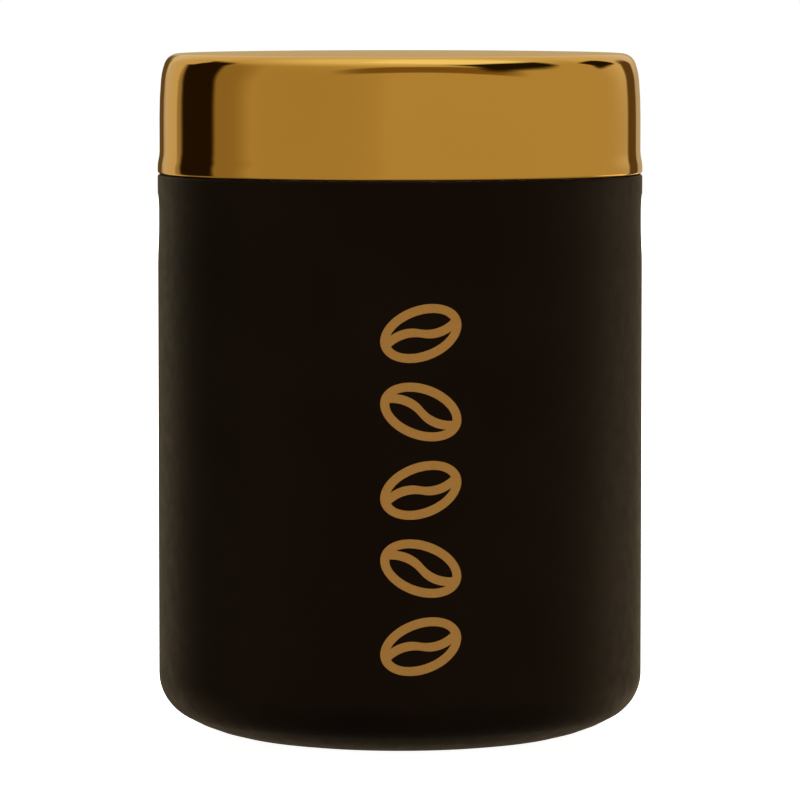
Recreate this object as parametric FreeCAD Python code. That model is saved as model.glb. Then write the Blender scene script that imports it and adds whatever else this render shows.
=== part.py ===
import FreeCAD, Part
import math
import os

# Coffee canister: a black powder-coated steel body with a folded mouth, and a gold steel cap whose
# moulded plug carries a silicone seal. It stands on Z = 0, with its axis on Z and its front to -Y.
# Lengths are millimetres and angles are degrees.

# Driving dimensions
BODY_RADIUS = 52.5
BODY_HEIGHT = 121.7
TOTAL_HEIGHT = 148.1
SHEET = 0.5

# Base pan
SEAM_HEIGHT = 14.5
FOOT_RADIUS = 30.0
FOOT_WIDTH = 2.75
KNUCKLE_RADIUS = 10.1
KNUCKLE_TURN = 60.2
RECESS_DEPTH = 2.2
RECESS_SLOPE = 5.0
PANEL_RADIUS = 12.0
PANEL_STEP = 0.8
PANEL_SLOPE = 3.0

# Folded mouth above a shallow neck
FOLD_RADIUS = 0.55
MOUTH_WIDTH = 2.6
MOUTH_RETURN = 5.0
NECK_DEPTH = 0.25
NECK_LEAD = 9.0
NECK_LENGTH = 3.4
SHOULDER_LENGTH = 4.4
SHOULDER_LAND = 2.5

# Cap
EDGE_GAP = 0.2
HEM_RADIUS = 0.55
HEM_LENGTH = 1.4
HEM_LAND = 0.65
FLARE_DEPTH = 0.43
FLARE_LENGTH = 3.8
LEAN_RADIUS = 90.0
LEAN_TURN = 5.0
LOWER_CORNER_RADIUS = 14.0
LOWER_CORNER_TURN = 15.0
UPPER_CORNER_RADIUS = 3.2
DOME_SLOPE = 0.8

# Plug inside the cap, with heights measured from the underside of its flange
FLANGE_GAP = 0.1
FLANGE_THICKNESS = 1.6
MOULDED_WALL = 1.4
PLUG_RADIUS = BODY_RADIUS - 3.5
PLUG_DEPTH = 13.1
PLUG_DRAFT = 0.3
PLUG_ROUND = 2.0
SKIRT_RADIUS = BODY_RADIUS - 2 * HEM_RADIUS - 0.1
SKIRT_HEIGHT = 17.4
SNAP_DEPTH = 0.2
SNAP_LENGTH = 1.1
FLOOR_RECESS_RADIUS = 38.0
FLOOR_RECESS_DEPTH = 0.8
RIB_COUNT = 8
RIB_THICKNESS = 1.2
RIB_HEIGHT = 5.0
BOSS_RADIUS = 6.0

# Seal and the groove that holds it
GROOVE_FLOOR_RADIUS = PLUG_RADIUS - 1.3
GROOVE_LOW = -5.6
GROOVE_HIGH = -1.8
SEAL_CLEARANCE = 0.05
SEAL_REACH = 0.55
SEAL_LIP = 0.6
SEAL_ROUND = 0.25

# Print: a column of coffee beans
BEAN_COUNT = 5
BEAN_LENGTH = 17.6
BEAN_WIDTH = 11.4
BEAN_TILT = 20.0
BEAN_PITCH = 16.4
COLUMN_CENTRE = 57.5
STROKE = 1.9
CREASE_TURN = 62.0
FILM = 0.06

FLANGE_HEIGHT = BODY_HEIGHT + FLANGE_GAP
ORIGIN = FreeCAD.Vector(0, 0, 0)
UP = FreeCAD.Vector(0, 0, 1)
FRONT = FreeCAD.Vector(0, -1, 0)


def at(radius, height):
    """Point of a section, in the X-Z plane."""
    return FreeCAD.Vector(radius, 0, height)


def along(angle):
    """Unit vector in the X-Z plane at an angle above +X."""
    return at(math.cos(math.radians(angle)), math.sin(math.radians(angle)))


def run(length):
    """Straight stretch of a sheet."""
    return (length, 0)


def bend(radius, turn):
    """Bend with its radius on the outer skin. A positive turn goes left."""
    return (radius, turn)


def jog(offset, length):
    """Two opposite bends that shift a sheet sideways, to the left when the offset is positive."""
    turn = 2 * math.degrees(math.atan(offset / length))
    radius = length / (2 * math.sin(math.radians(abs(turn))))
    return [bend(radius, turn), bend(radius, -turn)]


def travel(heading, moves):
    """Vector from the start of some moves to their end."""
    total = at(0, 0)
    for size, turn in moves:
        if turn == 0:
            total += along(heading) * size
        else:
            side = math.copysign(1, turn)
            total += (along(heading + turn - 90 * side) - along(heading - 90 * side)) * size
            heading += turn
    return total


def sheet_section(start, heading, moves, thickness):
    """Face of a sheet whose outer skin follows the moves, with its metal on the skin's left."""
    edges = [Part.LineSegment(start, start + along(heading + 90) * thickness).toShape()]
    for size, turn in moves:
        left = along(heading + 90) * thickness
        end = start + travel(heading, [(size, turn)])
        if turn == 0:
            edges.append(Part.LineSegment(start, end).toShape())
            edges.append(Part.LineSegment(start + left, end + left).toShape())
        else:
            side = math.copysign(1, turn)
            centre = start + along(heading + 90 * side) * size
            rays = [along(heading + turn * share - 90 * side) for share in (0, 0.5, 1)]
            for radius in (size, size - side * thickness):
                edges.append(Part.Arc(*[centre + ray * radius for ray in rays]).toShape())
            heading += turn
        start = end
    edges.append(Part.LineSegment(start, start + along(heading + 90) * thickness).toShape())
    return Part.Face(Part.Wire(Part.__sortEdges__(edges)))


def moulded_section(corners):
    """Face with straight sides between corners, each (radius, height, rounding)."""
    edges = []
    ends = []
    for number, (radius, height, rounding) in enumerate(corners):
        corner = at(radius, height)
        back = (at(*corners[number - 1][:2]) - corner).normalize()
        ahead = (at(*corners[(number + 1) % len(corners)][:2]) - corner).normalize()
        half_angle = back.getAngle(ahead) / 2
        reach = rounding / math.tan(half_angle)
        ends.append((corner + back * reach, corner + ahead * reach))
        if rounding:
            towards_centre = (back + ahead).normalize()
            middle = corner + towards_centre * (rounding / math.sin(half_angle) - rounding)
            edges.append(Part.Arc(ends[-1][0], middle, ends[-1][1]).toShape())
    for number, (arrival, _) in enumerate(ends):
        edges.append(Part.LineSegment(ends[number - 1][1], arrival).toShape())
    return Part.Face(Part.Wire(Part.__sortEdges__(edges)))


def turned(section):
    """Solid of revolution about the canister's axis."""
    return section.revolve(ORIGIN, UP, 360)


def sleeve(outer_radius, inner_radius, height):
    """Plain tube on the canister's axis, standing on Z = 0."""
    outside = Part.makeCylinder(outer_radius, height)
    return outside.cut(Part.makeCylinder(inner_radius, height))


def base_pan():
    """Drawn pan: a stepped panel, a narrow foot and a two-radius corner that rises to the weld."""
    foot_turn = 90 - KNUCKLE_TURN
    knuckle_width = KNUCKLE_RADIUS * (1 - math.sin(math.radians(foot_turn)))
    foot_arc = (BODY_RADIUS - FOOT_RADIUS - knuckle_width) / math.sin(math.radians(foot_turn))
    floor_width = FOOT_RADIUS - FOOT_WIDTH - RECESS_SLOPE - PANEL_SLOPE - PANEL_RADIUS
    moves = [run(PANEL_RADIUS)] + jog(-PANEL_STEP, PANEL_SLOPE)
    moves += [run(floor_width)] + jog(-RECESS_DEPTH, RECESS_SLOPE)
    moves += [run(FOOT_WIDTH), bend(foot_arc, foot_turn), bend(KNUCKLE_RADIUS, KNUCKLE_TURN)]
    panel_height = RECESS_DEPTH + PANEL_STEP
    moves.append(run(SEAM_HEIGHT - panel_height - travel(0, moves).z))
    return turned(sheet_section(at(0, panel_height), 0, moves, SHEET))


def body_wall():
    """Rolled tube welded to the base pan, necked in below a mouth that folds inward and down."""
    neck = jog(NECK_DEPTH, NECK_LEAD) + [run(NECK_LENGTH)] + jog(-NECK_DEPTH, SHOULDER_LENGTH)
    fold = bend(FOLD_RADIUS, 90)
    mouth = [run(SHOULDER_LAND), fold, run(MOUTH_WIDTH - 2 * FOLD_RADIUS), fold]
    straight = BODY_HEIGHT - SEAM_HEIGHT - travel(90, neck + mouth[:2]).z
    moves = [run(straight)] + neck + mouth + [run(MOUTH_RETURN)]
    return turned(sheet_section(at(BODY_RADIUS, SEAM_HEIGHT), 90, moves, SHEET))


def lid_shell():
    """Drawn cap: a hemmed and flared lower edge, a side that leans in to a soft corner, a faint dome."""
    hem = [run(HEM_LENGTH), bend(HEM_RADIUS, 180), run(HEM_LAND)]
    flare = jog(FLARE_DEPTH, FLARE_LENGTH)
    corner = [bend(LEAN_RADIUS, LEAN_TURN), bend(LOWER_CORNER_RADIUS, LOWER_CORNER_TURN)]
    corner.append(bend(UPPER_CORNER_RADIUS, 90 - LEAN_TURN - LOWER_CORNER_TURN - DOME_SLOPE))
    top_radius = BODY_RADIUS + travel(90, flare + corner).x
    dome = [bend(top_radius / math.sin(math.radians(DOME_SLOPE)), DOME_SLOPE)]
    start = at(BODY_RADIUS - 2 * HEM_RADIUS, BODY_HEIGHT + EDGE_GAP + HEM_RADIUS + HEM_LENGTH)
    rise = travel(-90, hem).z + travel(90, flare + corner).z + travel(180 - DOME_SLOPE, dome).z
    side = [run(TOTAL_HEIGHT - start.z - rise)]
    return turned(sheet_section(start, -90, hem + flare + side + corner + dome, SHEET))


def lid_insert():
    """Moulded plug: a skirt that snaps behind the hem, a flange over the mouth and a ribbed cup."""
    low = FLANGE_HEIGHT - PLUG_DEPTH
    groove_low = FLANGE_HEIGHT + GROOVE_LOW
    groove_high = FLANGE_HEIGHT + GROOVE_HIGH
    snap = BODY_HEIGHT + EDGE_GAP + HEM_RADIUS + HEM_LENGTH
    skirt_top = FLANGE_HEIGHT + SKIRT_HEIGHT
    flange_top = FLANGE_HEIGHT + FLANGE_THICKNESS
    floor_top = low + FLOOR_RECESS_DEPTH + MOULDED_WALL
    cup_radius = GROOVE_FLOOR_RADIUS - MOULDED_WALL
    neck_radius = PLUG_RADIUS - MOULDED_WALL
    section = moulded_section([
        (0, low + FLOOR_RECESS_DEPTH, 0),
        (FLOOR_RECESS_RADIUS, low + FLOOR_RECESS_DEPTH, 0.5),
        (FLOOR_RECESS_RADIUS + FLOOR_RECESS_DEPTH, low, 0.5),
        (PLUG_RADIUS - PLUG_DRAFT, low, PLUG_ROUND),
        (PLUG_RADIUS, groove_low, 0),
        (GROOVE_FLOOR_RADIUS, groove_low, 0),
        (GROOVE_FLOOR_RADIUS, groove_high, 0),
        (PLUG_RADIUS, groove_high, 0),
        (PLUG_RADIUS, FLANGE_HEIGHT, 0.3),
        (SKIRT_RADIUS, FLANGE_HEIGHT, 0.3),
        (SKIRT_RADIUS, snap, 0),
        (SKIRT_RADIUS + SNAP_DEPTH, snap, 0),
        (SKIRT_RADIUS + SNAP_DEPTH, snap + SNAP_LENGTH, 0),
        (SKIRT_RADIUS, snap + 2 * SNAP_LENGTH, 0),
        (SKIRT_RADIUS, skirt_top, 0.4),
        (SKIRT_RADIUS - MOULDED_WALL, skirt_top, 0.4),
        (SKIRT_RADIUS - MOULDED_WALL, flange_top, 0.5),
        (neck_radius, flange_top, 0.5),
        (neck_radius, groove_high + MOULDED_WALL, 0.5),
        (cup_radius, groove_high, 0.5),
        (cup_radius, floor_top, 1.0),
        (0, floor_top, 0),
    ])
    plug = turned(section)
    boss = Part.makeCylinder(BOSS_RADIUS, RIB_HEIGHT, at(0, floor_top))
    ribs = []
    for number in range(RIB_COUNT):
        rib_length = GROOVE_FLOOR_RADIUS - 0.5 * MOULDED_WALL
        corner = FreeCAD.Vector(0, -RIB_THICKNESS / 2, floor_top - 0.5 * MOULDED_WALL)
        rib = Part.makeBox(rib_length, RIB_THICKNESS, RIB_HEIGHT, corner)
        rib.rotate(ORIGIN, UP, number * 360 / RIB_COUNT)
        ribs.append(rib)
    return plug.fuse([boss] + ribs).removeSplitter()


def seal_ring():
    """Silicone ring with two lips, seated in the plug's groove."""
    low = FLANGE_HEIGHT + GROOVE_LOW
    high = FLANGE_HEIGHT + GROOVE_HIGH
    middle = (low + high) / 2
    lip_radius = PLUG_RADIUS + SEAL_REACH
    back_radius = GROOVE_FLOOR_RADIUS + SEAL_CLEARANCE
    return turned(moulded_section([
        (back_radius, low, 0),
        (PLUG_RADIUS, low, 0),
        (lip_radius, low + SEAL_LIP, SEAL_ROUND),
        (lip_radius, low + 2 * SEAL_LIP, SEAL_ROUND),
        (PLUG_RADIUS - 0.1, middle, SEAL_ROUND),
        (lip_radius, high - 2 * SEAL_LIP, SEAL_ROUND),
        (lip_radius, high - SEAL_LIP, SEAL_ROUND),
        (PLUG_RADIUS, high, 0),
        (back_radius, high, 0),
    ]))


def ellipse_face(centre, tilt, half_length, half_width):
    """Flat ellipse in the X-Z plane with its long axis at a tilt above +X."""
    curve = Part.Ellipse(centre + along(tilt) * half_length, centre + along(tilt + 90) * half_width, centre)
    return Part.Face(Part.Wire(curve.toShape()))


def bean(centre, tilt, depth):
    """Line drawing of a coffee bean, an oval outline and an S-shaped crease, cut through a depth."""
    half_length = BEAN_LENGTH / 2
    half_width = BEAN_WIDTH / 2
    oval = ellipse_face(centre, tilt, half_length, half_width)
    outline = oval.cut(ellipse_face(centre, tilt, half_length - STROKE, half_width - STROKE))
    crease_reach = half_length - STROKE / 2
    crease_radius = crease_reach / (2 * math.sin(math.radians(CREASE_TURN / 2)))
    heading = tilt + CREASE_TURN / 2
    start = centre - along(tilt) * crease_reach - along(heading + 90) * (STROKE / 2)
    moves = [bend(crease_radius - STROKE / 2, -CREASE_TURN), bend(crease_radius + STROKE / 2, CREASE_TURN)]
    crease = sheet_section(start, heading, moves, STROKE).common(oval)
    return outline.extrude(depth).fuse(crease.extrude(depth))


def printed_motif():
    """Film of ink on the front of the body: beans in a column, tilted left and right in turn."""
    film = sleeve(BODY_RADIUS + FILM, BODY_RADIUS, BODY_HEIGHT)
    prints = []
    for number in range(BEAN_COUNT):
        height = COLUMN_CENTRE + (number - (BEAN_COUNT - 1) / 2) * BEAN_PITCH
        tilt = BEAN_TILT * (-1) ** number
        block = bean(at(0, height), tilt, FRONT * (BODY_RADIUS + 1))
        prints.extend(film.common(block).removeSplitter().Solids)
    return Part.makeCompound(prints)


def main():
    os.makedirs("parts", exist_ok=True)
    for make in (base_pan, body_wall, printed_motif, lid_shell, lid_insert, seal_ring):
        shape = make()
        if not shape.isValid():
            raise ValueError(f"{make.__name__} is not a valid shape")
        shape.exportStep(f"parts/{make.__name__}.step")
        print(make.__name__, len(shape.Solids), "solids", round(shape.Volume, 1), "mm3", shape.BoundBox)


main()
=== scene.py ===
import math
from collections import namedtuple

import bmesh
import bpy
from mathutils import Matrix, Vector


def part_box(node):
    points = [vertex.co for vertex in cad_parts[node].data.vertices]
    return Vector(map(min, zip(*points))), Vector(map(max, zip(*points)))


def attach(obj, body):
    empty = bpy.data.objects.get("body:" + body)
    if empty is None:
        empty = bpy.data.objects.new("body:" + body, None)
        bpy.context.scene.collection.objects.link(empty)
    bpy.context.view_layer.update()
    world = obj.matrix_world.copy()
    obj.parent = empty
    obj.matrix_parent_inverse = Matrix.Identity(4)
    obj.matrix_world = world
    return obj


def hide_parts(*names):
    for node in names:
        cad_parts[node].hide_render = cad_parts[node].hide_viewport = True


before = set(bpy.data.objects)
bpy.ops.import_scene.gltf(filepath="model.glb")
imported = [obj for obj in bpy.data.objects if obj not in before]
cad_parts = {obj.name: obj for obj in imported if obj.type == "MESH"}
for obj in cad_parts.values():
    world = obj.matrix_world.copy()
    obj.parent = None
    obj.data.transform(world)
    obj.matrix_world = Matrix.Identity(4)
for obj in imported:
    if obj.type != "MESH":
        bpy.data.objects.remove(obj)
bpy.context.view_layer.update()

# Coffee canister with a mirror-gold cap: black powder-coated steel body, folded mouth, moulded plug
# and silicone seal. Lengths are metres. The canister stands on Z = 0 and its front faces -Y.

MM = 0.001

# Sizes read from the frame
BODY_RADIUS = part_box("body_wall")[1].x
BODY_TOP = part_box("body_wall")[1].z
SEAM_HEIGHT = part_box("base_pan")[1].z
LID_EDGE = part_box("lid_shell")[0].z
LID_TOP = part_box("lid_shell")[1].z
LID_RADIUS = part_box("lid_shell")[1].x
PLUG_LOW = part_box("lid_insert")[0].z
SKIRT_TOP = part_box("lid_insert")[1].z
SEAL_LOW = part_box("seal_ring")[0].z
SEAL_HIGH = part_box("seal_ring")[1].z
SEAL_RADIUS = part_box("seal_ring")[1].x
PRINT_LOW, PRINT_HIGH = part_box("printed_motif")

# Sheet metal
SHEET = 0.5 * MM
FOOT_RADIUS = 30.0 * MM
FOOT_WIDTH = 2.75 * MM
KNUCKLE_RADIUS = 10.1 * MM
KNUCKLE_TURN = 60.2
RECESS_DEPTH = 2.2 * MM
RECESS_SLOPE = 5.0 * MM
PANEL_RADIUS = 12.0 * MM
PANEL_STEP = 0.8 * MM
PANEL_SLOPE = 3.0 * MM
FOLD_RADIUS = 0.55 * MM
MOUTH_WIDTH = 2.6 * MM
MOUTH_RETURN = 5.0 * MM
NECK_DEPTH = 0.25 * MM
NECK_LEAD = 9.0 * MM
NECK_LENGTH = 3.4 * MM
SHOULDER_LENGTH = 4.4 * MM
SHOULDER_LAND = 2.5 * MM
HEM_RADIUS = 0.55 * MM
HEM_LENGTH = 1.4 * MM
HEM_LAND = 0.65 * MM
FLARE_DEPTH = 0.43 * MM
FLARE_LENGTH = 3.8 * MM
LEAN_RADIUS = 90.0 * MM
LEAN_TURN = 5.0
LOWER_CORNER_RADIUS = 14.0 * MM
LOWER_CORNER_TURN = 15.0
UPPER_CORNER_RADIUS = 3.2 * MM
DOME_SLOPE = 0.8

# Lengthwise weld of the wall, at the back, meshed out to some widths with some steps in each
WELD_DEPTH = 0.05 * MM
WELD_WIDTH = 0.9 * MM
WELD_REACH = 2
WELD_STEPS = 3

# Moulded parts
WALL = 1.4 * MM
PLUG_RADIUS = BODY_RADIUS - 3.5 * MM
PLUG_DRAFT = 0.3 * MM
FLANGE_LOW = BODY_TOP + 0.1 * MM
FLANGE_TOP = FLANGE_LOW + 1.6 * MM
SKIRT_RADIUS = LID_RADIUS - 2 * HEM_RADIUS - 0.1 * MM
SNAP_DEPTH = 0.2 * MM
SNAP_LENGTH = 1.1 * MM
GROOVE_RADIUS = PLUG_RADIUS - 1.3 * MM
RECESS_RADIUS = 38.0 * MM
RECESS_RISE = 0.8 * MM
RIB_COUNT = 8
RIB_THICKNESS = 1.2 * MM
RIB_HEIGHT = 5.0 * MM
BOSS_RADIUS = 6.0 * MM
SEAL_CLEARANCE = 0.05 * MM
SEAL_LIP = 0.6 * MM
SEAL_ROUND = 0.25 * MM

# Print
BEAN_COUNT = 5
BEAN_LENGTH = 17.6 * MM
BEAN_WIDTH = 11.4 * MM
BEAN_TILT = 20.0
BEAN_PITCH = 16.4 * MM
STROKE = 1.9 * MM
CREASE_TURN = 62.0

# Mesh fineness
ROUND_STEPS = 256
BOSS_STEPS = 48
BEAN_STEPS = 120
ARC_STEP = 6.0
RUN_STEP = 6.0 * MM
SHARP_ANGLE = 40.0
AXIS_RADIUS = 1e-7

# Camera
CAMERA_AZIMUTH = -4.8
CAMERA_DISTANCE = 24.0 * BODY_RADIUS
CAMERA_HEIGHT = 3.173 * BODY_RADIUS
CAMERA_PITCH = 4.27
CAMERA_LENS = 261.5
CAMERA_CLIP = 0.05

# Floor and overhead light
FLOOR_RADIUS = 3.0
FLOOR_STEPS = 96
FLOOR_GAP = 0.02 * MM
OVERHEAD_STRENGTH = 3.0
OVERHEAD_WIDTH = 70.0


def along(angle):
    """Unit vector at an angle above outward, as (radius, height)."""
    return Vector((math.cos(math.radians(angle)), math.sin(math.radians(angle))))


def run(length):
    """Straight stretch of a sheet."""
    return (length, 0)


def bend(radius, turn):
    """Bend with its radius on the outer skin. A positive turn goes left."""
    return (radius, turn)


def jog(offset, length):
    """Two opposite bends that shift a sheet sideways, to the left when the offset is positive."""
    turn = 2 * math.degrees(math.atan(offset / length))
    radius = length / (2 * math.sin(math.radians(abs(turn))))
    return [bend(radius, turn), bend(radius, -turn)]


def trace(start, heading, moves, offset=0.0):
    """Points along some moves, shifted to the left of them by an offset."""
    points = [start + along(heading + 90) * offset]
    for size, turn in moves:
        if turn == 0:
            shift = along(heading + 90) * offset
            count = max(1, math.ceil(size / RUN_STEP))
            for number in range(1, count + 1):
                points.append(start + along(heading) * (size * number / count) + shift)
            start = start + along(heading) * size
        else:
            side = math.copysign(1, turn)
            centre = start + along(heading + 90 * side) * size
            count = max(2, math.ceil(abs(turn) / ARC_STEP))
            for number in range(1, count + 1):
                ray = along(heading + turn * number / count - 90 * side)
                points.append(centre + ray * (size - side * offset))
            heading += turn
            start = centre + along(heading - 90 * side) * size
    return points


def rounded(corners):
    """Closed outline with straight sides between corners, each (radius, height, rounding)."""
    points = []
    for number, (radius, height, rounding) in enumerate(corners):
        corner = Vector((radius, height))
        if rounding == 0:
            points.append(corner)
            continue
        back = (Vector(corners[number - 1][:2]) - corner).normalized()
        ahead = (Vector(corners[(number + 1) % len(corners)][:2]) - corner).normalized()
        half_angle = back.angle(ahead) / 2
        centre = corner + (back + ahead).normalized() * (rounding / math.sin(half_angle))
        first = corner + back * (rounding / math.tan(half_angle)) - centre
        last = corner + ahead * (rounding / math.tan(half_angle)) - centre
        turn = first.angle_signed(last)
        count = max(2, math.ceil(abs(math.degrees(turn)) / ARC_STEP))
        for step in range(count + 1):
            share = step / count
            mixed = first * math.sin((1 - share) * abs(turn)) + last * math.sin(share * abs(turn))
            points.append(centre + mixed / math.sin(abs(turn)))
    return points


def finish_mesh(name, mesh, materials, body, nodes):
    """Make a mesh into a smooth-shaded piece that rides on a body and stands for CAD nodes."""
    piece = bpy.data.objects.new(name, mesh)
    bpy.context.scene.collection.objects.link(piece)
    for material in materials:
        mesh.materials.append(material)
    mesh.polygons.foreach_set("use_smooth", [True] * len(mesh.polygons))
    mesh.set_sharp_from_angle(angle=math.radians(SHARP_ANGLE))
    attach(piece, body)
    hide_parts(*nodes)


def lathe(outline, angles, coated=None, dip=None):
    """Surface of a closed outline turned about Z.

    The outline's edges numbered below coated have the first material, and the others the second.
    dip gives how far the surface sinks toward Z at an angle.
    """
    bm = bmesh.new()
    rings = []
    for point in outline:
        if point.x < AXIS_RADIUS:
            rings.append([bm.verts.new((0, 0, point.y))])
            continue
        ring = []
        for angle in angles:
            radius = point.x - (dip(angle) if dip else 0)
            ring.append(bm.verts.new((radius * math.cos(angle), radius * math.sin(angle), point.y)))
        rings.append(ring)
    for index, ring in enumerate(rings):
        above = rings[(index + 1) % len(rings)]
        if len(ring) == 1 and len(above) == 1:
            continue
        for place in range(len(angles)):
            after = (place + 1) % len(angles)
            corners = [ring[place % len(ring)], ring[after % len(ring)]]
            corners += [above[after % len(above)], above[place % len(above)]]
            face = bm.faces.new(list(dict.fromkeys(corners)))
            face.material_index = 0 if coated is None or index < coated else 1
    return bm


def even_angles(extra=()):
    """Angles round the axis, with extra ones where a shape needs them."""
    angles = {round(2 * math.pi * number / ROUND_STEPS, 9) for number in range(ROUND_STEPS)}
    return sorted(angles | {round(angle, 9) for angle in extra})


def to_mesh(name, bm):
    """Mesh from a bmesh, with its faces turned outward."""
    bmesh.ops.recalc_face_normals(bm, faces=bm.faces)
    mesh = bpy.data.meshes.new(name)
    bm.to_mesh(mesh)
    bm.free()
    return mesh


def base_pan(materials):
    """Drawn pan: a stepped panel, a narrow foot and a two-radius corner that rises to the weld."""
    foot_turn = 90 - KNUCKLE_TURN
    knuckle_width = KNUCKLE_RADIUS * (1 - math.sin(math.radians(foot_turn)))
    foot_arc = (BODY_RADIUS - FOOT_RADIUS - knuckle_width) / math.sin(math.radians(foot_turn))
    floor_width = FOOT_RADIUS - FOOT_WIDTH - RECESS_SLOPE - PANEL_SLOPE - PANEL_RADIUS
    moves = [run(PANEL_RADIUS)] + jog(-PANEL_STEP, PANEL_SLOPE)
    moves += [run(floor_width)] + jog(-RECESS_DEPTH, RECESS_SLOPE)
    moves += [run(FOOT_WIDTH), bend(foot_arc, foot_turn), bend(KNUCKLE_RADIUS, KNUCKLE_TURN)]
    start = Vector((0, RECESS_DEPTH + PANEL_STEP))
    moves.append(run(SEAM_HEIGHT - trace(start, 0, moves)[-1].y))
    skin = trace(start, 0, moves)
    back = trace(start, 0, moves, SHEET)
    bm = lathe(skin + back[::-1], even_angles(), len(skin))
    mesh = to_mesh("base_pan_coated", bm)
    finish_mesh("base_pan_coated", mesh, materials, "canister", ["base_pan"])


def weld_dip(angle):
    """How far the wall sinks at its weld."""
    across = (angle - math.pi / 2) * BODY_RADIUS
    return WELD_DEPTH * math.exp(-(across / WELD_WIDTH) ** 2)


def body_wall(materials):
    """Rolled tube: a straight wall, a shallow neck, and a mouth that folds inward and down."""
    neck = jog(NECK_DEPTH, NECK_LEAD) + [run(NECK_LENGTH)] + jog(-NECK_DEPTH, SHOULDER_LENGTH)
    fold = bend(FOLD_RADIUS, 90)
    mouth = [run(SHOULDER_LAND), fold, run(MOUTH_WIDTH - 2 * FOLD_RADIUS), fold]
    rise = trace(Vector((0, 0)), 90, neck + mouth[:2])[-1].y
    moves = [run(BODY_TOP - SEAM_HEIGHT - rise)] + neck + mouth + [run(MOUTH_RETURN)]
    start = Vector((BODY_RADIUS, SEAM_HEIGHT))
    skin = trace(start, 90, moves)
    back = trace(start, 90, moves, SHEET)
    step = WELD_WIDTH / BODY_RADIUS / WELD_STEPS
    reach = WELD_REACH * WELD_STEPS
    weld = [math.pi / 2 + number * step for number in range(-reach, reach + 1)]
    bm = lathe(skin + back[::-1], even_angles(weld), len(skin), weld_dip)
    mesh = to_mesh("body_wall_coated", bm)
    finish_mesh("body_wall_coated", mesh, materials, "canister", ["body_wall"])


def lid_shell(materials):
    """Drawn cap: a hemmed and flared edge, a side that leans in to a soft corner, a faint dome."""
    hem = [run(HEM_LENGTH), bend(HEM_RADIUS, 180), run(HEM_LAND)]
    flare = jog(FLARE_DEPTH, FLARE_LENGTH)
    corner = [bend(LEAN_RADIUS, LEAN_TURN), bend(LOWER_CORNER_RADIUS, LOWER_CORNER_TURN)]
    corner.append(bend(UPPER_CORNER_RADIUS, 90 - LEAN_TURN - LOWER_CORNER_TURN - DOME_SLOPE))
    start = Vector((LID_RADIUS - 2 * HEM_RADIUS, LID_EDGE + HEM_RADIUS + HEM_LENGTH))
    top_radius = trace(start, -90, hem + flare + corner)[-1].x
    dome = [bend(top_radius / math.sin(math.radians(DOME_SLOPE)), DOME_SLOPE)]
    height = trace(start, -90, hem + flare + corner + dome)[-1].y
    moves = hem + flare + [run(LID_TOP - height)] + corner + dome
    skin = trace(start, -90, moves)
    back = trace(start, -90, moves, SHEET)
    skin[-1].x = 0
    back[-1].x = 0
    mesh = to_mesh("lid_cap", lathe(skin + back[::-1], even_angles()))
    finish_mesh("lid_cap", mesh, materials, "lid", ["lid_shell"])


def ribs(floor_top):
    """Solids that stiffen the plug's floor: a boss in the middle, and bars that are two ribs each."""
    bm = bmesh.new()
    bmesh.ops.create_cone(
        bm, cap_ends=True, segments=BOSS_STEPS,
        radius1=BOSS_RADIUS, radius2=BOSS_RADIUS, depth=RIB_HEIGHT + WALL / 2,
        matrix=Matrix.Translation((0, 0, floor_top + RIB_HEIGHT / 2 - WALL / 4)),
    )
    solids = [to_mesh("boss", bm)]
    reach = 2 * (GROOVE_RADIUS - WALL / 2)
    middle = Matrix.Translation((0, 0, floor_top + RIB_HEIGHT / 2 - WALL / 2))
    for number in range(RIB_COUNT // 2):
        turn = Matrix.Rotation(2 * math.pi * number / RIB_COUNT, 4, "Z")
        bm = bmesh.new()
        size = Matrix.Diagonal((reach, RIB_THICKNESS, RIB_HEIGHT, 1))
        bmesh.ops.create_cube(bm, size=1, matrix=turn @ middle @ size)
        solids.append(to_mesh("ribs", bm))
    return solids


def united(first, second):
    """One mesh from two closed ones that overlap."""
    pieces = [bpy.data.objects.new(mesh.name, mesh) for mesh in (first, second)]
    for piece in pieces:
        bpy.context.scene.collection.objects.link(piece)
    union = pieces[0].modifiers.new("union", "BOOLEAN")
    union.operation = "UNION"
    union.solver = "EXACT"
    union.object = pieces[1]
    whole = pieces[0].evaluated_get(bpy.context.evaluated_depsgraph_get())
    mesh = bpy.data.meshes.new_from_object(whole)
    for piece in pieces:
        bpy.data.objects.remove(piece)
    return mesh


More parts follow.
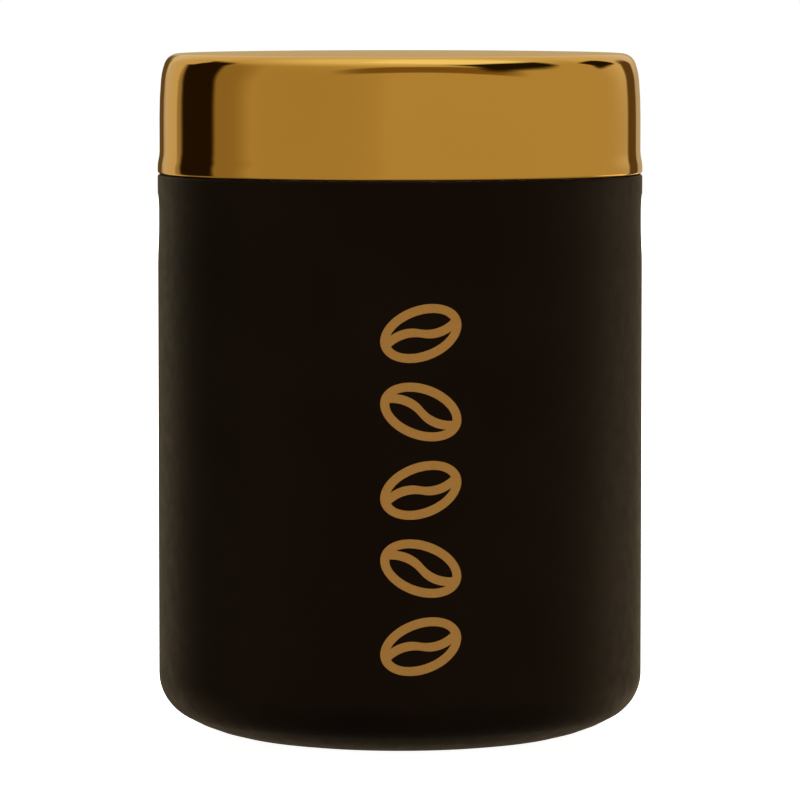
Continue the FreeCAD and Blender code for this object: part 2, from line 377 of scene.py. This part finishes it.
def lid_insert(materials):
    """Moulded plug: a skirt that snaps behind the hem, a flange over the mouth and a ribbed cup."""
    snap = LID_EDGE + HEM_RADIUS + HEM_LENGTH
    floor_top = PLUG_LOW + RECESS_RISE + WALL
    outline = rounded([
        (0, PLUG_LOW + RECESS_RISE, 0),
        (RECESS_RADIUS, PLUG_LOW + RECESS_RISE, 0.5 * MM),
        (RECESS_RADIUS + RECESS_RISE, PLUG_LOW, 0.5 * MM),
        (PLUG_RADIUS - PLUG_DRAFT, PLUG_LOW, 2.0 * MM),
        (PLUG_RADIUS, SEAL_LOW, 0.15 * MM),
        (GROOVE_RADIUS, SEAL_LOW, 0),
        (GROOVE_RADIUS, SEAL_HIGH, 0),
        (PLUG_RADIUS, SEAL_HIGH, 0.15 * MM),
        (PLUG_RADIUS, FLANGE_LOW, 0.3 * MM),
        (SKIRT_RADIUS, FLANGE_LOW, 0.3 * MM),
        (SKIRT_RADIUS, snap, 0),
        (SKIRT_RADIUS + SNAP_DEPTH, snap, 0),
        (SKIRT_RADIUS + SNAP_DEPTH, snap + SNAP_LENGTH, 0.15 * MM),
        (SKIRT_RADIUS, snap + 2 * SNAP_LENGTH, 0.15 * MM),
        (SKIRT_RADIUS, SKIRT_TOP, 0.4 * MM),
        (SKIRT_RADIUS - WALL, SKIRT_TOP, 0.4 * MM),
        (SKIRT_RADIUS - WALL, FLANGE_TOP, 0.5 * MM),
        (PLUG_RADIUS - WALL, FLANGE_TOP, 0.5 * MM),
        (PLUG_RADIUS - WALL, SEAL_HIGH + WALL, 0.5 * MM),
        (GROOVE_RADIUS - WALL, SEAL_HIGH, 0.5 * MM),
        (GROOVE_RADIUS - WALL, floor_top, 1.0 * MM),
        (0, floor_top, 0),
    ])
    mesh = to_mesh("lid_plug", lathe(outline, even_angles()))
    for solid in ribs(floor_top):
        mesh = united(mesh, solid)
    finish_mesh("lid_plug", mesh, materials, "lid", ["lid_insert"])


def seal_ring(materials):
    """Silicone ring with two rounded lips, seated in the plug's groove."""
    middle = (SEAL_LOW + SEAL_HIGH) / 2
    outline = rounded([
        (GROOVE_RADIUS + SEAL_CLEARANCE, SEAL_LOW, 0.2 * MM),
        (PLUG_RADIUS, SEAL_LOW, 0.1 * MM),
        (SEAL_RADIUS, SEAL_LOW + SEAL_LIP, SEAL_ROUND),
        (SEAL_RADIUS, SEAL_LOW + 2 * SEAL_LIP, SEAL_ROUND),
        (PLUG_RADIUS - 0.1 * MM, middle, SEAL_ROUND),
        (SEAL_RADIUS, SEAL_HIGH - 2 * SEAL_LIP, SEAL_ROUND),
        (SEAL_RADIUS, SEAL_HIGH - SEAL_LIP, SEAL_ROUND),
        (PLUG_RADIUS, SEAL_HIGH, 0.1 * MM),
        (GROOVE_RADIUS + SEAL_CLEARANCE, SEAL_HIGH, 0.2 * MM),
    ])
    mesh = to_mesh("seal_lips", lathe(outline, even_angles()))
    finish_mesh("seal_lips", mesh, materials, "lid", ["seal_ring"])


def crease_height(across):
    """Height of the crease's middle line along a bean, from its tail at -1 to its tip at 1."""
    half_turn = math.radians(CREASE_TURN / 2)
    place = 2 * (abs(across) - 0.5)
    bow = math.sqrt(1 - (place * math.sin(half_turn)) ** 2) - math.cos(half_turn)
    return -math.copysign(bow, across) * (BEAN_LENGTH - STROKE) / 4 / math.sin(half_turn)


def bean_loops():
    """Outline of a bean and the two openings that its crease leaves, as closed loops of points."""
    half_length = BEAN_LENGTH / 2
    half_width = BEAN_WIDTH / 2
    crease_reach = half_length - STROKE / 2
    turns = [2 * math.pi * number / BEAN_STEPS for number in range(BEAN_STEPS)]
    outline = [Vector((half_length * math.cos(turn), half_width * math.sin(turn))) for turn in turns]
    loops = [outline]
    for side in (1, -1):
        def edge(across):
            return crease_height(across / crease_reach) + side * STROKE / 2

        def rim(across):
            inner = 1 - (across / (half_length - STROKE)) ** 2
            return side * (half_width - STROKE) * math.sqrt(max(inner, 0))

        sweep = [math.pi * (number / BEAN_STEPS - 0.5) for number in range(BEAN_STEPS + 1)]
        places = [(half_length - STROKE) * math.sin(angle) for angle in sweep]
        inside = [place for place in places if side * (rim(place) - edge(place)) > 0]
        lower = [Vector((place, edge(place))) for place in inside]
        upper = [Vector((place, rim(place))) for place in reversed(inside)]
        loops.append(lower + upper)
    return loops


def printed_motif(materials):
    """Film of ink on the front: line-drawn beans in a column, tilted left and right in turn."""
    bm = bmesh.new()
    middle = (PRINT_LOW.z + PRINT_HIGH.z) / 2
    for number in range(BEAN_COUNT):
        height = middle + (number - (BEAN_COUNT - 1) / 2) * BEAN_PITCH
        tilt = math.radians(BEAN_TILT * (-1) ** number)
        edges = []
        for loop in bean_loops():
            corners = []
            for point in loop:
                across = point.x * math.cos(tilt) - point.y * math.sin(tilt)
                up = point.x * math.sin(tilt) + point.y * math.cos(tilt)
                corners.append(bm.verts.new((across, 0, height + up)))
            for place, corner in enumerate(corners):
                edges.append(bm.edges.new((corners[place - 1], corner)))
        bmesh.ops.triangle_fill(bm, use_beauty=True, edges=edges)
    film = -PRINT_LOW.y - BODY_RADIUS
    bmesh.ops.recalc_face_normals(bm, faces=bm.faces)
    bottom = list(bm.faces)
    raised = bmesh.ops.extrude_face_region(bm, geom=bottom)["geom"]
    lifted = {element for element in raised if isinstance(element, bmesh.types.BMVert)}
    for vertex in bm.verts:
        radius = BODY_RADIUS + (film if vertex in lifted else 0)
        vertex.co.y = -math.sqrt(radius ** 2 - vertex.co.x ** 2)
    mesh = to_mesh("printed_beans", bm)
    finish_mesh("printed_beans", mesh, materials, "canister", ["printed_motif"])


class Nodes:
    """Short calls for building a node tree."""

    # Places of a Mix node's sockets when it mixes colours
    MIX_INPUTS = (0, 6, 7)
    MIX_RESULT = 2

    def __init__(self, tree):
        self.tree = tree
        tree.nodes.clear()

    def put(self, socket, value):
        """Link or set an input."""
        if isinstance(value, bpy.types.NodeSocket):
            self.tree.links.new(value, socket)
        else:
            socket.default_value = value

    def add(self, kind, inputs=(), **settings):
        """New node with its settings, and its inputs linked or set."""
        node = self.tree.nodes.new(kind)
        for name, value in settings.items():
            setattr(node, name, value)
        for name, value in dict(inputs).items():
            self.put(node.inputs[name], value)
        return node

    def math(self, operation, first, second=0.0):
        node = self.add("ShaderNodeMath", {0: first, 1: second}, operation=operation)
        return node.outputs[0]

    def dot(self, first, second):
        inputs = {0: first, 1: second}
        return self.add("ShaderNodeVectorMath", inputs, operation="DOT_PRODUCT").outputs["Value"]

    def noise(self, where, scale, detail=2.0, roughness=0.5):
        inputs = {"Vector": where, "Scale": scale, "Detail": detail, "Roughness": roughness}
        return self.add("ShaderNodeTexNoise", inputs).outputs[0]

    def span(self, value, low, high, start=0.0, end=1.0):
        """Map a value from start and end onto low and high, and hold it there."""
        inputs = {"Value": value, "From Min": start, "From Max": end, "To Min": low, "To Max": high}
        return self.add("ShaderNodeMapRange", inputs).outputs[0]

    def smooth(self, value, start, end):
        """Smooth step from 0 at the start to 1 at the end."""
        inputs = {"Value": value, "From Min": start, "From Max": end}
        return self.add("ShaderNodeMapRange", inputs, interpolation_type="SMOOTHSTEP").outputs[0]

    def mix(self, factor, first, second):
        node = self.add("ShaderNodeMix", data_type="RGBA")
        for place, value in zip(self.MIX_INPUTS, (factor, first, second)):
            self.put(node.inputs[place], value)
        return node.outputs[self.MIX_RESULT]

    def bump(self, height, distance, normal=None):
        inputs = {"Height": height, "Distance": distance, "Strength": 1.0}
        if normal is not None:
            inputs["Normal"] = normal
        return self.add("ShaderNodeBump", inputs).outputs["Normal"]

    def stretched(self, where, scale):
        """Coordinates scaled differently along each axis."""
        return self.add("ShaderNodeMapping", {"Vector": where, "Scale": scale}).outputs[0]

    def around(self, where):
        """Coordinates whose third one runs along a turned outline, for noise that is stretched round Z."""
        place = self.add("ShaderNodeSeparateXYZ", {"Vector": where})
        square = self.math("MULTIPLY", place.outputs["X"], place.outputs["X"])
        other = self.math("MULTIPLY", place.outputs["Y"], place.outputs["Y"])
        radius = self.math("SQRT", self.math("ADD", square, other))
        outline = self.math("SUBTRACT", place.outputs["Z"], radius)
        inputs = {"X": place.outputs["X"], "Y": place.outputs["Y"], "Z": outline}
        return self.add("ShaderNodeCombineXYZ", inputs).outputs[0]

    def surface(self, **inputs):
        """Principled shader on the material's output."""
        named = {name.replace("_", " "): value for name, value in inputs.items()}
        shader = self.add("ShaderNodeBsdfPrincipled", named)
        self.add("ShaderNodeOutputMaterial", {"Surface": shader.outputs[0]})


def new_material(name):
    """An empty node material, its node builder and its object coordinates."""
    material = bpy.data.materials.new(name)
    material.use_nodes = True
    nodes = Nodes(material.node_tree)
    where = nodes.add("ShaderNodeTexCoord").outputs["Object"]
    return material, nodes, where


def powder_coat():
    """Matte black coat with a fine orange-peel grain and faint mottling."""
    material, nodes, where = new_material("black_powder_coat")
    mottle = nodes.noise(where, 45.0, 3.0)
    peel = nodes.noise(where, 1400.0, 2.0)
    grain = nodes.noise(where, 5200.0, 2.0)
    patches = nodes.span(mottle, 0, 1, 0.3, 0.7)
    colour = nodes.mix(patches, (0.0018, 0.0010, 0.0006, 1), (0.0027, 0.0016, 0.0010, 1))
    roughness = nodes.span(nodes.noise(where, 300.0, 3.0), 0.41, 0.51, 0.3, 0.7)
    normal = nodes.bump(grain, 0.006 * MM, nodes.bump(peel, 0.020 * MM))
    nodes.surface(
        Base_Color=colour, Roughness=roughness, Normal=normal,
        Specular_IOR_Level=0.105, Specular_Tint=(1.0, 0.66, 0.46, 1),
        Sheen_Weight=0.03, Sheen_Roughness=0.35, Sheen_Tint=(1.0, 0.84, 0.62, 1),
    )
    return material


def gold_mirror():
    """Plated gold: a near-mirror with slow waves from the press and fine wiping scratches."""
    material, nodes, where = new_material("gold_plate")
    tone = nodes.noise(where, 30.0, 2.0)
    colour = nodes.mix(tone, (0.82, 0.50, 0.108, 1), (0.90, 0.565, 0.13, 1))
    around = nodes.around(where)
    wiping = nodes.noise(nodes.stretched(around, (60.0, 60.0, 1800.0)), 1.0, 4.0)
    roughness = nodes.span(wiping, 0.03, 0.065, 0.35, 0.75)
    waves = nodes.noise(nodes.stretched(around, (60.0, 60.0, 22.0)), 1.0, 1.0)
    normal = nodes.bump(wiping, 0.00025 * MM, nodes.bump(waves, 0.012 * MM))
    nodes.surface(Base_Color=colour, Metallic=1.0, Roughness=roughness, Normal=normal)
    return material


def bare_steel():
    """Inside of the body: rolled steel with fine lines round the axis."""
    material, nodes, where = new_material("bare_steel")
    around = nodes.around(where)
    lines = nodes.noise(nodes.stretched(around, (25.0, 25.0, 2600.0)), 1.0, 5.0, 0.6)
    tone = nodes.noise(where, 35.0, 3.0)
    colour = nodes.mix(tone, (0.46, 0.45, 0.43, 1), (0.62, 0.61, 0.58, 1))
    roughness = nodes.span(lines, 0.24, 0.42, 0.3, 0.7)
    normal = nodes.bump(lines, 0.004 * MM)
    nodes.surface(Base_Color=colour, Metallic=1.0, Roughness=roughness, Normal=normal)
    return material


def moulded_plastic():
    """Natural polypropylene with a fine spark-eroded texture and flow marks."""
    material, nodes, where = new_material("moulded_plastic")
    flow = nodes.noise(where, 55.0, 3.0)
    texture = nodes.noise(where, 2600.0, 2.0)
    colour = nodes.mix(nodes.span(flow, 0, 1, 0.3, 0.7), (0.50, 0.48, 0.43, 1), (0.57, 0.55, 0.51, 1))
    roughness = nodes.span(nodes.noise(where, 500.0, 2.0), 0.34, 0.46, 0.3, 0.7)
    normal = nodes.bump(texture, 0.008 * MM, nodes.bump(flow, 0.03 * MM))
    nodes.surface(
        Base_Color=colour, Roughness=roughness, Normal=normal,
        Subsurface_Weight=0.12, Subsurface_Scale=2.0 * MM,
    )
    return material


def silicone():
    """Milky silicone with a slight bloom."""
    material, nodes, where = new_material("silicone")
    bloom = nodes.noise(where, 240.0, 4.0)
    colour = nodes.mix(nodes.span(bloom, 0, 1, 0.3, 0.7), (0.40, 0.39, 0.36, 1), (0.50, 0.49, 0.46, 1))
    roughness = nodes.span(bloom, 0.36, 0.55, 0.3, 0.7)
    normal = nodes.bump(nodes.noise(where, 1500.0, 2.0), 0.006 * MM)
    nodes.surface(
        Base_Color=colour, Roughness=roughness, Normal=normal,
        Subsurface_Weight=0.25, Subsurface_Scale=1.5 * MM,
    )
    return material


def gold_ink():
    """Screen-printed gold ink: fine metal flakes in a satin binder."""
    material, nodes, where = new_material("gold_print")
    flakes = nodes.noise(where, 4200.0, 3.0, 0.6)
    shine = nodes.span(flakes, 0, 1, 0.3, 0.7)
    colour = nodes.mix(shine, (0.22, 0.10, 0.010, 1), (0.29, 0.135, 0.015, 1))
    roughness = nodes.span(flakes, 0.40, 0.55, 0.3, 0.7)
    normal = nodes.bump(flakes, 0.005 * MM)
    nodes.surface(Base_Color=colour, Metallic=0.25, Roughness=roughness, Normal=normal)
    return material


def pale_floor():
    """White acrylic floor, lit from below."""
    material, nodes, where = new_material("pale_floor")
    tone = nodes.noise(where, 6.0, 3.0)
    colour = nodes.mix(tone, (0.90, 0.90, 0.90, 1), (0.93, 0.93, 0.93, 1))
    nodes.surface(
        Base_Color=colour, Roughness=0.8, Specular_IOR_Level=0.1,
        Emission_Color=(1, 1, 1, 1), Emission_Strength=0.97,
    )
    return material


# The studio is a warm room with a broad ceiling light and a pale table, shaded near the canister.
# Places in it are in degrees, round the canister from the camera's side (positive is to the right)
# and above level. A light is (brightness, warmth).
ROOM = (0.49, 1.0)
CEILING = (0.85, 0.2)
CEILING_START = 33.0
CEILING_END = 78.0
TABLE = (0.34, 1.2)
TABLE_EDGE = -6.0
TABLE_NEAR = -12.0
SHADE = (0.05, 1.5)
SHADE_START = -22.0
SHADE_END = -55.0

# Soft-edged cards in the room, light and dark, that the mirror of the lid shows. A later one covers
# an earlier one.
Card = namedtuple("Card", "azimuth elevation half_width half_height lean softness light")
CARDS = (
    # Behind the canister, for its rims: the wall, two low lights and a warm strip
    Card(180, 30, 50, 24, 0, 0.80, (0.68, 0.8)),
    Card(138, -15, 28, 8, 0, 0.90, (1.20, 1.1)),
    Card(-160, -15, 12, 8, 0, 0.90, (0.80, 1.1)),
    Card(180, 1, 14, 7, 0, 0.90, (0.52, 1.6)),
    # To the left, duller and duller walls
    Card(-45, 0, 34, 34, 0, 0.95, (0.43, 1.1)),
    Card(-108, 0, 28, 36, 0, 0.95, (0.29, 1.4)),
    # Behind and to the left, a brown edge, a light, a black screen and a light across its top
    Card(-165, -4, 9, 16, 0, 0.70, (0.12, 2.4)),
    Card(-143, 4, 9, 30, 0, 0.50, (0.60, 0.9)),
    Card(-115.5, 11, 14.5, 28, -7, 0.55, (0.015, 2.5)),
    Card(-139, 27, 11, 9, 0, 0.50, (0.62, 1.0)),
    # Behind and to the right, a brown edge
    Card(148, 0, 7.5, 20, 0, 0.80, (0.11, 2.6)),
    # Above, a brown beam in front, two black screens to the right and a lamp
    Card(18, 34, 40, 5.5, 6, 0.80, (0.20, 2.2)),
    Card(68, 47, 21, 20, 0, 0.60, (0.015, 2.0)),
    Card(126, 26, 11, 10, 0, 0.60, (0.015, 2.0)),
    Card(70, 76, 20, 20, 0, 0.90, (1.02, 0.0)),
)
CARD_SQUARENESS = 4.0
CARD_HORIZON = 0.1


def glow(brightness, warmth):
    """Colour of a light, from white at a warmth of 0 through cream to amber."""
    return (brightness, brightness * 0.8 ** warmth, brightness * 0.5 ** warmth, 1)


def card_mask(nodes, way, card):
    """Mask of a card that faces the canister, 1 inside its soft edge and 0 outside."""
    turned = Matrix.Rotation(math.radians(CAMERA_AZIMUTH + card.azimuth), 3, "Z")
    turned = turned @ Matrix.Rotation(math.radians(-card.elevation), 3, "X")
    turned = turned @ Matrix.Rotation(math.radians(card.lean), 3, "Y")
    across = nodes.dot(way, turned @ Vector((1 / math.sin(math.radians(card.half_width)), 0, 0)))
    up = nodes.dot(way, turned @ Vector((0, 0, 1 / math.sin(math.radians(card.half_height)))))
    facing = nodes.smooth(nodes.dot(way, turned @ Vector((0, -1, 0))), 0, CARD_HORIZON)
    sideways = nodes.math("POWER", across, CARD_SQUARENESS)
    upward = nodes.math("POWER", up, CARD_SQUARENESS)
    spread = nodes.math("ADD", sideways, upward)
    inside = nodes.smooth(spread, 1 + card.softness, 1 - card.softness)
    return nodes.math("MULTIPLY", facing, inside)


def studio_world():
    """White to the camera, and the warm room with its ceiling, table and cards to everything else."""
    world = bpy.data.worlds.new("studio")
    bpy.context.scene.world = world
    world.use_nodes = True
    nodes = Nodes(world.node_tree)
    way = nodes.add("ShaderNodeTexCoord").outputs["Generated"]
    height = nodes.add("ShaderNodeSeparateXYZ", {"Vector": way}).outputs["Z"]
    rise = nodes.math("DEGREES", nodes.math("ARCSINE", height))
    light = nodes.mix(nodes.smooth(rise, CEILING_START, CEILING_END), glow(*ROOM), glow(*CEILING))
    table = nodes.mix(nodes.smooth(rise, SHADE_START, SHADE_END), glow(*TABLE), glow(*SHADE))
    light = nodes.mix(nodes.smooth(rise, TABLE_EDGE, TABLE_NEAR), light, table)
    for card in CARDS:
        light = nodes.mix(card_mask(nodes, way, card), light, glow(*card.light))
    around = nodes.add("ShaderNodeBackground", {"Color": light}).outputs[0]
    white = nodes.add("ShaderNodeBackground", {"Color": (1, 1, 1, 1)}).outputs[0]
    seen = nodes.add("ShaderNodeLightPath").outputs["Is Camera Ray"]
    shown = nodes.add("ShaderNodeMixShader", {0: seen, 1: around, 2: white}).outputs[0]
    nodes.add("ShaderNodeOutputWorld", {"Surface": shown})


def floor():
    """Plain pale floor under the canister, kept out of its reflections."""
    bm = bmesh.new()
    bmesh.ops.create_circle(bm, cap_ends=True, segments=FLOOR_STEPS, radius=FLOOR_RADIUS)
    plane = bpy.data.objects.new("floor", to_mesh("floor", bm))
    plane.data.materials.append(pale_floor())
    plane.location.z = -FLOOR_GAP
    plane.visible_glossy = False
    bpy.context.scene.collection.objects.link(plane)


def overhead_light():
    """Broad soft light from straight above, kept out of reflections."""
    lamp = bpy.data.lights.new("overhead", "SUN")
    lamp.energy = OVERHEAD_STRENGTH
    lamp.angle = math.radians(OVERHEAD_WIDTH)
    light = bpy.data.objects.new("overhead", lamp)
    light.visible_glossy = False
    bpy.context.scene.collection.objects.link(light)


def camera():
    """Long lens a little above the lid, pitched down, with the print just right of the middle."""
    lens = bpy.data.cameras.new("camera")
    lens.lens = CAMERA_LENS
    lens.clip_start = CAMERA_CLIP
    view = bpy.data.objects.new("camera", lens)
    turn = math.radians(CAMERA_AZIMUTH)
    view.location = (CAMERA_DISTANCE * math.sin(turn), -CAMERA_DISTANCE * math.cos(turn), CAMERA_HEIGHT)
    view.rotation_euler = (math.radians(90 - CAMERA_PITCH), 0, turn)
    bpy.context.scene.collection.objects.link(view)
    bpy.context.scene.camera = view


def main():
    """Build the pieces, then the studio round them."""
    coat = powder_coat()
    steel = bare_steel()
    base_pan([coat, steel])
    body_wall([coat, steel])
    printed_motif([gold_ink()])
    lid_shell([gold_mirror()])
    lid_insert([moulded_plastic()])
    seal_ring([silicone()])
    studio_world()
    floor()
    overhead_light()
    camera()
    bpy.context.scene.view_settings.view_transform = "Standard"


main()
